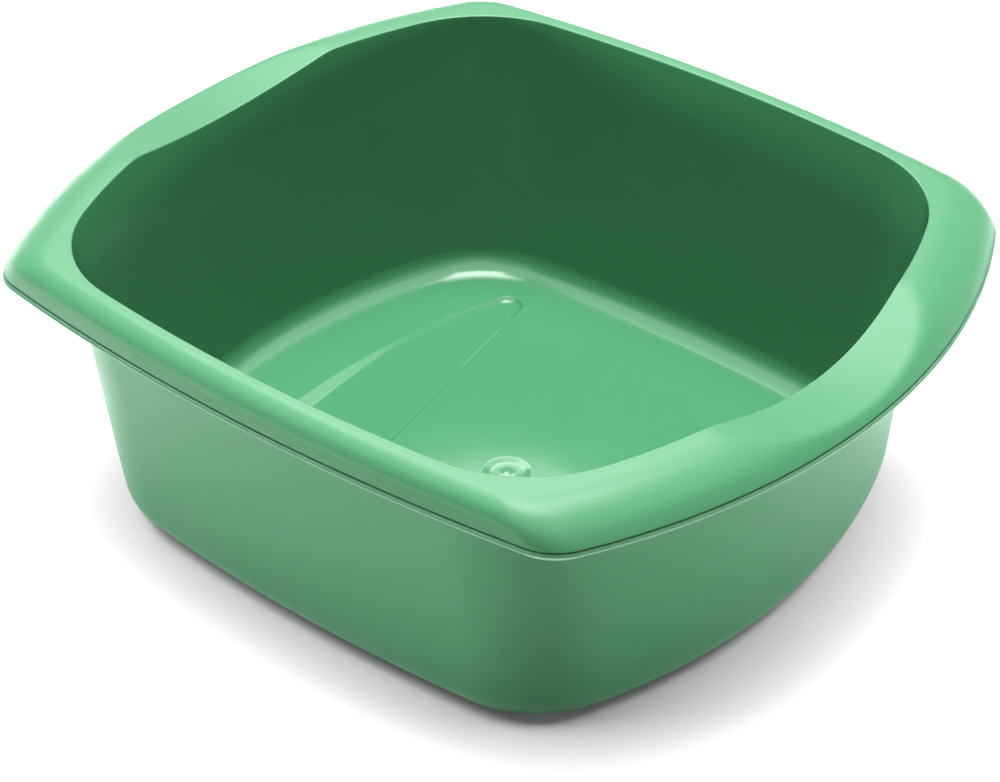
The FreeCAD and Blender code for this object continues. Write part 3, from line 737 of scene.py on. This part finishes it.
ramp_grid = ramp_points()
print("ramp grid of %d by %d points, up to %.2f mm below the floor" %
      (*ramp_grid.shape[:2], FLOOR - ramp_grid[..., 2].min()))

# %% [markdown]
# The ramp keeps the panel's thickness, so its grid is used twice, once for each face. The gate mark is
# turned about its middle from a short profile, as the real one was turned in the mould. The panel's
# two holes are those pieces' own edges, so nothing gapes; a fill of triangles takes any such outline.

# %% Ramp
PANEL_THICKNESS = FLOOR - PANEL_UNDERSIDE
SHARP_ANGLE = math.radians(35)
FACING_UP = 0.1


def add_flat_piece(name, points, faces):
    """Piece from points in millimetres, smooth but for its sharp edges, with the glossy finish on top."""
    mesh = bpy.data.meshes.new(name)
    mesh.from_pydata(np.asarray(points) * MM, [], faces)
    mesh.polygons.foreach_set("use_smooth", [True] * len(mesh.polygons))
    sides = [INSIDE if face.normal.z > FACING_UP else OUTSIDE for face in mesh.polygons]
    mesh.polygons.foreach_set("material_index", sides)
    mesh.set_sharp_from_angle(angle=SHARP_ANGLE)
    piece = bpy.data.objects.new(name, mesh)
    bpy.context.scene.collection.objects.link(piece)
    return piece


def make_ramp():
    """Ramp at an even thickness: its grid, the same grid again below, and a wall round the two."""
    lengthwise, across = ramp_grid.shape[:2]
    top = [tuple(point) for point in ramp_grid[:-1].reshape(-1, 3)] + [tuple(ramp_grid[-1, 0])]
    count, tip = len(top), len(top) - 1
    points = top + [(x, y, z - PANEL_THICKNESS) for x, y, z in top]
    faces = []
    for i in range(lengthwise - 2):
        for j in range(across - 1):
            a = i * across + j
            faces.append((a, a + 1, a + across + 1, a + across))
    last = (lengthwise - 2) * across
    faces += [(last + j, last + j + 1, tip) for j in range(across - 1)]
    faces += [tuple(count + i for i in reversed(face)) for face in faces]
    rim = list(range(across)) + [i * across + across - 1 for i in range(1, lengthwise - 1)] + [tip]
    rim += [i * across for i in range(lengthwise - 2, 0, -1)]
    for a, b in zip(rim, rim[1:] + rim[:1]):
        faces.append((b, a, count + a, count + b))
    return add_flat_piece("base_ramp_skin", points, faces), [points[i][:2] for i in rim]


pieces["base_ramp"], ramp_ring = make_ramp()
print_faces("base_ramp")

# %% Gate mark
GATE_ROUND = 72
GATE_PROFILE = [(0.5, -0.3), (1.0, -0.34), (1.5, -0.48), (2.0, -0.68), (2.5, -0.82), (3.1, -0.89),
                (3.8, -0.9), (6.8, -0.9), (7.4, -0.87), (7.9, -0.79), (8.6, -0.6), (9.6, -0.31),
                (10.3, -0.11), (10.7, -0.03), (11.0, 0.0), (11.0, -PANEL_THICKNESS)]


def make_gate():
    """Gate mark, turned about its middle."""
    angles = [2 * math.pi * k / GATE_ROUND for k in range(GATE_ROUND)]
    points = [(radius * math.cos(a), radius * math.sin(a), FLOOR + z)
              for radius, z in GATE_PROFILE for a in angles]
    faces = [tuple(range(GATE_ROUND)), tuple(range(len(points) - 1, len(points) - GATE_ROUND - 1, -1))]
    for ring in range(len(GATE_PROFILE) - 1):
        for k in range(GATE_ROUND):
            after = (k + 1) % GATE_ROUND
            a, b = ring * GATE_ROUND + k, ring * GATE_ROUND + after
            faces.append((a, a + GATE_ROUND, b + GATE_ROUND, b))
    edge = [point[:2] for point in points[-GATE_ROUND:]]
    return add_flat_piece("gate_dimple_skin", points, faces), edge


pieces["gate_dimple"], gate_ring = make_gate()
print_faces("gate_dimple")

# %% Floor panel
def make_panel(outline, holes):
    """Flat panel with holes, filled by triangles and closed round every edge."""
    work = bmesh.new()
    loops = []
    for ring in [outline] + holes:
        corners = [work.verts.new((x, y, FLOOR)) for x, y in ring]
        loops.append(corners)
        for a, b in zip(corners, corners[1:] + corners[:1]):
            work.edges.new((a, b))
    bmesh.ops.triangle_fill(work, use_beauty=True, edges=work.edges[:], normal=(0, 0, 1))
    work.verts.index_update()
    top = [tuple(v.co) for v in work.verts]
    faces = [tuple(v.index for v in face.verts) for face in work.faces]
    faces = [face if flat_normal(top, face)[2] > 0 else face[::-1] for face in faces]
    count = len(top)
    faces += [tuple(count + i for i in reversed(face)) for face in faces]
    for number, loop in enumerate(loops):
        ring = [v.index for v in loop]
        for a, b in zip(ring, ring[1:] + ring[:1]):
            wall = (b, a, count + a, count + b)
            faces.append(wall if number == 0 else (a, b, count + b, count + a))
    work.free()
    points = top + [(x, y, PANEL_UNDERSIDE) for x, y, _ in top]
    return add_flat_piece("base_panel_skin", points, faces)


pieces["base_panel"] = make_panel([tuple(p) for p in grid[0, :, :2]], [ramp_ring, gate_ring])
print_faces("base_panel")

# %% [markdown]
# ## Green plastic
#
# The bowl is coloured right through. Polypropylene from a polished mould is glossy inside, where it
# also shows the faint orange peel of its skin, and satin on the rim and outside. Every finish has a
# slight drift of colour, an uneven gloss and some orange peel, so these are one node group with its
# own values in each material. Noise in object space needs no unwrapping, and runs on over the cuts
# between the regions.

# %% Node helpers
def new_node(tree, kind, links=(), **settings):
    """Add a node, set its own settings and feed its inputs: a value, or a socket of another node."""
    node = tree.nodes.new(kind)
    for key, value in settings.items():
        setattr(node, key, value)
    for name, value in dict(links).items():
        if isinstance(value, bpy.types.NodeSocket):
            tree.links.new(value, node.inputs[name])
        else:
            node.inputs[name].default_value = value
    return node


def calculate(tree, operation, *values):
    """Result of a Math node."""
    return new_node(tree, "ShaderNodeMath", enumerate(values), operation=operation).outputs[0]


def map_range(tree, value, old, new=(0.0, 1.0)):
    """Result of a Map Range node, from an old span of values to a new one."""
    spans = dict(zip(("From Min", "From Max", "To Min", "To Max"), (*old, *new)))
    return new_node(tree, "ShaderNodeMapRange", {"Value": value, **spans}).outputs["Result"]


def mix_colours(tree, share, first, second):
    """Result of a Mix node between two colours."""
    return new_node(tree, "ShaderNodeMix", {0: share, 6: first, 7: second}, data_type="RGBA").outputs[2]


print("helpers:", ", ".join(helper.__name__ for helper in (new_node, calculate, map_range, mix_colours)))

# %% Node group for the moulded skin
GROUP_INPUTS = {"Colour": "NodeSocketColor", "Drift": "NodeSocketFloat", "Gloss Low": "NodeSocketFloat",
                "Gloss High": "NodeSocketFloat", "Peel Scale": "NodeSocketFloat"}
GROUP_OUTPUTS = {"Colour": "NodeSocketColor", "Roughness": "NodeSocketFloat", "Height": "NodeSocketFloat"}
CLOUD = {"Scale": 22.0, "Detail": 4.0, "Roughness": 0.6}
HAZE = {"Scale": 60.0, "Detail": 3.0, "Roughness": 0.65}
HAZE_SPAN = (0.3, 0.7)
PEEL_DETAIL = 2.0


def make_skin_group():
    """Group that gives a moulded skin its colour drift, its uneven gloss and its orange peel."""
    group = bpy.data.node_groups.new("moulded_skin", "ShaderNodeTree")
    for name, kind in GROUP_INPUTS.items():
        group.interface.new_socket(name=name, in_out="INPUT", socket_type=kind)
    for name, kind in GROUP_OUTPUTS.items():
        group.interface.new_socket(name=name, in_out="OUTPUT", socket_type=kind)
    given = new_node(group, "NodeGroupInput").outputs
    place = new_node(group, "ShaderNodeTexCoord").outputs["Object"]
    cloud = new_node(group, "ShaderNodeTexNoise", {"Vector": place, **CLOUD})
    centred = calculate(group, "SUBTRACT", cloud.outputs["Fac"], 0.5)
    drift = calculate(group, "MULTIPLY_ADD", centred, given["Drift"], 1.0)
    colour = new_node(group, "ShaderNodeHueSaturation", {"Value": drift, "Color": given["Colour"]})
    haze = new_node(group, "ShaderNodeTexNoise", {"Vector": place, **HAZE})
    rough = map_range(group, haze.outputs["Fac"], HAZE_SPAN, (given["Gloss Low"], given["Gloss High"]))
    peel = new_node(group, "ShaderNodeTexNoise",
                    {"Vector": place, "Scale": given["Peel Scale"], "Detail": PEEL_DETAIL})
    put = new_node(group, "NodeGroupOutput").inputs
    group.links.new(colour.outputs["Color"], put["Colour"])
    group.links.new(rough, put["Roughness"])
    group.links.new(peel.outputs["Fac"], put["Height"])
    return group


moulded_skin = make_skin_group()
print("node group", moulded_skin.name, "with", len(moulded_skin.nodes), "nodes")

# %% [markdown]
# Three painted highlights are mixed into the colour as a pale green: on the ring and nub of the gate,
# a fine line at the foot of the ramp's right edge, and the lip's lower edge. Each is a mask over object
# space: a curve over the distance from the gate, a narrow band along the ramp's edge, or a height.
# Painting them as vertex colours would need far smaller faces.

# %% Painted highlight on the gate's ring and nub
GATE_HIGHLIGHT_TONES = [(0.0, 0.35), (2.2, 0.3), (3.6, 0.0), (7.1, 0.0), (8.2, 0.18), (9.8, 0.15), (11.6, 0.0)]
GATE_SPAN = 12.0


def gate_highlight_mask(tree, place):
    """Mask of the painted highlight on the gate's ring and nub, by the distance from its middle."""
    flat = new_node(tree, "ShaderNodeVectorMath", {0: place, 1: (1, 1, 0)}, operation="MULTIPLY")
    away = new_node(tree, "ShaderNodeVectorMath", {0: flat.outputs[0]}, operation="LENGTH")
    share = calculate(tree, "MULTIPLY", away.outputs["Value"], 1 / (GATE_SPAN * MM))
    tones = new_node(tree, "ShaderNodeValToRGB", {"Fac": share})
    stops = tones.color_ramp.elements
    while len(stops) < len(GATE_HIGHLIGHT_TONES):
        stops.new(0.5)
    for stop, (radius, tone) in zip(stops, GATE_HIGHLIGHT_TONES):
        stop.position = radius / GATE_SPAN
        stop.color = (tone, tone, tone, 1)
    return tones.outputs["Color"]


print("the gate's ring is %.1f mm across" % (2 * GATE_HIGHLIGHT_TONES[-1][0]))

# %% Painted highlights: the ramp's fine line and the lip's lower edge
LINE_INSET = 1.3
LINE_HALF_WIDTH = 0.42
LINE_ENDS = (46.0, 52.0, 95.0, 98.0)
LINE_STRENGTH = 0.75
LINE_CEILING = 1.0
EDGE_HIGHLIGHT_BAND = (0.7, 0.85)


def line_highlight_mask(tree, place):
    """Mask of the painted highlight line: near the foot of the ramp's right edge, and between two ends
    along y.
    """
    across = Vector((RIGHT_WAY.y, -RIGHT_WAY.x, 0))
    middle = (RAMP_TOUCH.x * across.x + RAMP_TOUCH.y * across.y - LINE_INSET) * MM
    reach = new_node(tree, "ShaderNodeVectorMath", {0: place, 1: across}, operation="DOT_PRODUCT")
    off = calculate(tree, "ABSOLUTE", calculate(tree, "SUBTRACT", reach.outputs["Value"], middle))
    near = map_range(tree, off, (0.0, LINE_HALF_WIDTH * MM), (LINE_STRENGTH, 0.0))
    along = new_node(tree, "ShaderNodeSeparateXYZ", {0: place}).outputs
    for outer, inner in (LINE_ENDS[:2], LINE_ENDS[:1:-1]):
        fade = map_range(tree, along["Y"], (outer * MM, inner * MM))
        near = calculate(tree, "MULTIPLY", near, fade)
    low = calculate(tree, "LESS_THAN", along["Z"], (FLOOR + LINE_CEILING) * MM)
    return calculate(tree, "MULTIPLY", near, low)


def edge_highlight_mask(tree, place):
    """Mask of the painted highlight on the lip's lower edge, by height."""
    height = new_node(tree, "ShaderNodeSeparateXYZ", {0: place}).outputs["Z"]
    return map_range(tree, height, ((LIP_FOOT + EDGE_HIGHLIGHT_BAND[1]) * MM, (LIP_FOOT + EDGE_HIGHLIGHT_BAND[0]) * MM))


print("the ramp's line is %.0f mm long, the lip's edge pale up to %.2f mm" %
      (LINE_ENDS[2] - LINE_ENDS[1], EDGE_HIGHLIGHT_BAND[1]))

# %% [markdown]
# Four finishes share the skin. The rim and its upright band get a painted shade: their green is
# written an eighth darker than the walls', because the rim's top faces the lamps and would look
# bleached. Plastic that is lit by other plastic would turn the inside a deeper green than such a bowl
# shows, so to rays that bounce from it the colour is a dark grey green.

# %% Four finishes
PLASTIC_GREEN = (0.13, 0.56, 0.25, 1.0)
# Painted shade: the green of the rim and its band, an eighth darker than the plastic's own.
RIM_SHADED_GREEN = (0.115, 0.495, 0.22, 1.0)
PAINTED_HIGHLIGHT_GREEN = (0.42, 0.86, 0.58, 1.0)
BOUNCED_GREEN = (0.036, 0.09, 0.052, 1.0)
COLOUR_DRIFT = 0.06
PEEL_DEPTH = 0.03 * MM
PLASTIC_IOR = 1.49


def make_finish(name, colour, gloss, peel_scale, specular, painted_highlights=()):
    """Plastic finish: its colour, roughness, size of orange peel, shine and the painted highlights on it.
    """
    material = bpy.data.materials.new(name)
    material.use_nodes = True
    tree = material.node_tree
    plastic = tree.nodes["Principled BSDF"]
    skin = new_node(tree, "ShaderNodeGroup", node_tree=moulded_skin)
    for socket, value in {"Colour": colour, "Drift": COLOUR_DRIFT, "Gloss Low": gloss[0],
                          "Gloss High": gloss[1], "Peel Scale": peel_scale}.items():
        skin.inputs[socket].default_value = value
    colour = skin.outputs["Colour"]
    place = new_node(tree, "ShaderNodeTexCoord").outputs["Object"]
    # Painted highlights: pale green mixed into the colour wherever a mask says.
    for painted_mask in painted_highlights:
        colour = mix_colours(tree, painted_mask(tree, place), colour, PAINTED_HIGHLIGHT_GREEN)
    path = new_node(tree, "ShaderNodeLightPath").outputs
    bounced = calculate(tree, "MAXIMUM", path["Is Diffuse Ray"], path["Is Glossy Ray"])
    toned = mix_colours(tree, bounced, colour, BOUNCED_GREEN)
    bump = new_node(tree, "ShaderNodeBump",
                    {"Height": skin.outputs["Height"], "Strength": 1.0, "Distance": PEEL_DEPTH})
    tree.links.new(toned, plastic.inputs["Base Color"])
    tree.links.new(skin.outputs["Roughness"], plastic.inputs["Roughness"])
    tree.links.new(bump.outputs["Normal"], plastic.inputs["Normal"])
    plastic.inputs["IOR"].default_value = PLASTIC_IOR
    plastic.inputs["Specular IOR Level"].default_value = specular
    return material


finishes = [make_finish("glossy_plastic", PLASTIC_GREEN, gloss=(0.12, 0.17), peel_scale=420.0,
                        specular=0.6, painted_highlights=(gate_highlight_mask, line_highlight_mask)),
            make_finish("satin_plastic", PLASTIC_GREEN, gloss=(0.34, 0.42), peel_scale=900.0,
                        specular=0.3),
            make_finish("rim_plastic_shaded", RIM_SHADED_GREEN, gloss=(0.32, 0.4), peel_scale=900.0,
                        specular=0.5, painted_highlights=(edge_highlight_mask,)),
            make_finish("band_plastic_shaded", RIM_SHADED_GREEN, gloss=(0.34, 0.42), peel_scale=900.0,
                        specular=0.3)]
for node, piece in pieces.items():
    for finish in finishes:
        piece.data.materials.append(finish)
    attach(piece, "root")
    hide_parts(node)
print("finishes:", ", ".join(finish.name for finish in finishes))

# %% [markdown]
# ## Studio
#
# A product table. A soft light overhead lights the bowl, and two low lamps fill in the walls and are
# left out of reflections. Two more are seen in reflections only: one behind, which draws the bright
# lines along the fillets, and a wide one above, like the roof of a light tent, which gives the rim its
# sheen. Cards with emission could do the same, but a lamp is easily switched off for one kind of ray.

# %% Studio lights
LAMP_DISTANCE = 2.2
MIDDLE = (0, 0, 0)


def add_soft_light(name, place, aim, size, power):
    """Rectangular lamp that shines from a place towards a point, in metres."""
    data = bpy.data.lights.new(name, "AREA")
    data.shape = "RECTANGLE"
    data.size, data.size_y = size
    data.energy = power
    lamp = bpy.data.objects.new(name, data)
    lamp.location = place
    lamp.rotation_euler = (Vector(aim) - Vector(place)).to_track_quat("-Z", "Y").to_euler()
    lamp.visible_camera = False
    bpy.context.scene.collection.objects.link(lamp)
    return lamp


def round_the_bowl(azimuth, elevation, distance=LAMP_DISTANCE):
    """Place seen from the middle of the bowl at an azimuth and an elevation, in degrees."""
    a, e = math.radians(azimuth), math.radians(elevation)
    return Vector((math.sin(a) * math.cos(e), -math.cos(a) * math.cos(e), math.sin(e))) * distance


add_soft_light("overhead_light", round_the_bowl(220, 84), aim=MIDDLE, size=(1.1, 1.1), power=44)
for name, azimuth in (("left_light", -48), ("right_light", 132)):
    side_light = add_soft_light(name, round_the_bowl(azimuth, 4), aim=(0, 0, 0.08), size=(0.7, 0.4),
                                power=15)
    side_light.visible_glossy = False
back_light = add_soft_light("back_light", round_the_bowl(228, 50), aim=(0, 0, 0.1), size=(1.2, 0.9),
                            power=16)
back_light.visible_diffuse = False
tent_light = add_soft_light("tent_light", (0, 0, LAMP_DISTANCE), aim=MIDDLE, size=(4.5, 4.5),
                            power=100)
tent_light.visible_diffuse = False
floor_light = add_soft_light("floor_light", round_the_bowl(220, 85, 2.0), aim=MIDDLE, size=(4.4, 2.2),
                             power=198)

# %% [markdown]
# The last lamp lights the floor alone, through light linking, so the floor is white and keeps the
# bowl's shadow while the bowl itself is lit at a plain level. To light that bounces, the floor is
# darker than it looks, because so wide a white floor would wash out the walls. The background is white
# to the camera and to reflections only, so it doesn't flood the inside of the bowl.

# %% Floor and background
WHITE = (1.0, 1.0, 1.0, 1.0)
FLOOR_SEEN = (0.8, 0.8, 0.8, 1.0)
FLOOR_BOUNCE = (0.1, 0.1, 0.1, 1.0)
FLOOR_SIZE = 12
FLOOR_LIFT = 0.04
FLOOR_FINISH = {"Roughness": 0.9, "Specular IOR Level": 0.1, "Emission Color": WHITE}
FILL_STRENGTH = 0.06


def seen_rays(tree):
    """Value that is 1 for rays that show the background, and 0 for rays that carry light."""
    path = new_node(tree, "ShaderNodeLightPath").outputs
    some = calculate(tree, "MAXIMUM", path["Is Camera Ray"], path["Is Glossy Ray"])
    return calculate(tree, "MAXIMUM", some, path["Is Transmission Ray"])


def make_floor():
    """Pale matt floor that takes the shadow, lifted a little towards white where it is seen."""
    bpy.ops.mesh.primitive_plane_add(size=FLOOR_SIZE)
    floor = bpy.context.object
    floor.name = "studio_floor"
    material = bpy.data.materials.new("white_floor")
    material.use_nodes = True
    tree = material.node_tree
    board = tree.nodes["Principled BSDF"]
    path = new_node(tree, "ShaderNodeLightPath").outputs
    shade = mix_colours(tree, path["Is Diffuse Ray"], FLOOR_SEEN, FLOOR_BOUNCE)
    tree.links.new(shade, board.inputs["Base Color"])
    for socket, value in FLOOR_FINISH.items():
        board.inputs[socket].default_value = value
    lift = calculate(tree, "MULTIPLY", seen_rays(tree), FLOOR_LIFT)
    tree.links.new(lift, board.inputs["Emission Strength"])
    floor.data.materials.append(material)
    return floor


def make_background():
    """World that is white to be seen, and a dim fill as light."""
    world = bpy.data.worlds.new("studio")
    bpy.context.scene.world = world
    world.use_nodes = True
    tree = world.node_tree
    fill = tree.nodes["Background"]
    fill.inputs["Color"].default_value = WHITE
    fill.inputs["Strength"].default_value = FILL_STRENGTH
    seen = new_node(tree, "ShaderNodeBackground", {"Color": WHITE, "Strength": 1.0})
    both = new_node(tree, "ShaderNodeMixShader",
                    {0: seen_rays(tree), 1: fill.outputs[0], 2: seen.outputs[0]})
    tree.links.new(both.outputs[0], tree.nodes["World Output"].inputs["Surface"])


studio_floor = make_floor()
make_background()
lit_floor = bpy.data.collections.new("lit_floor")
lit_floor.objects.link(studio_floor)
floor_light.light_linking.receiver_collection = lit_floor
bpy.context.scene.view_settings.view_transform = "Standard"
print("floor of %d m, lit by %s alone" % (FLOOR_SIZE, floor_light.name))
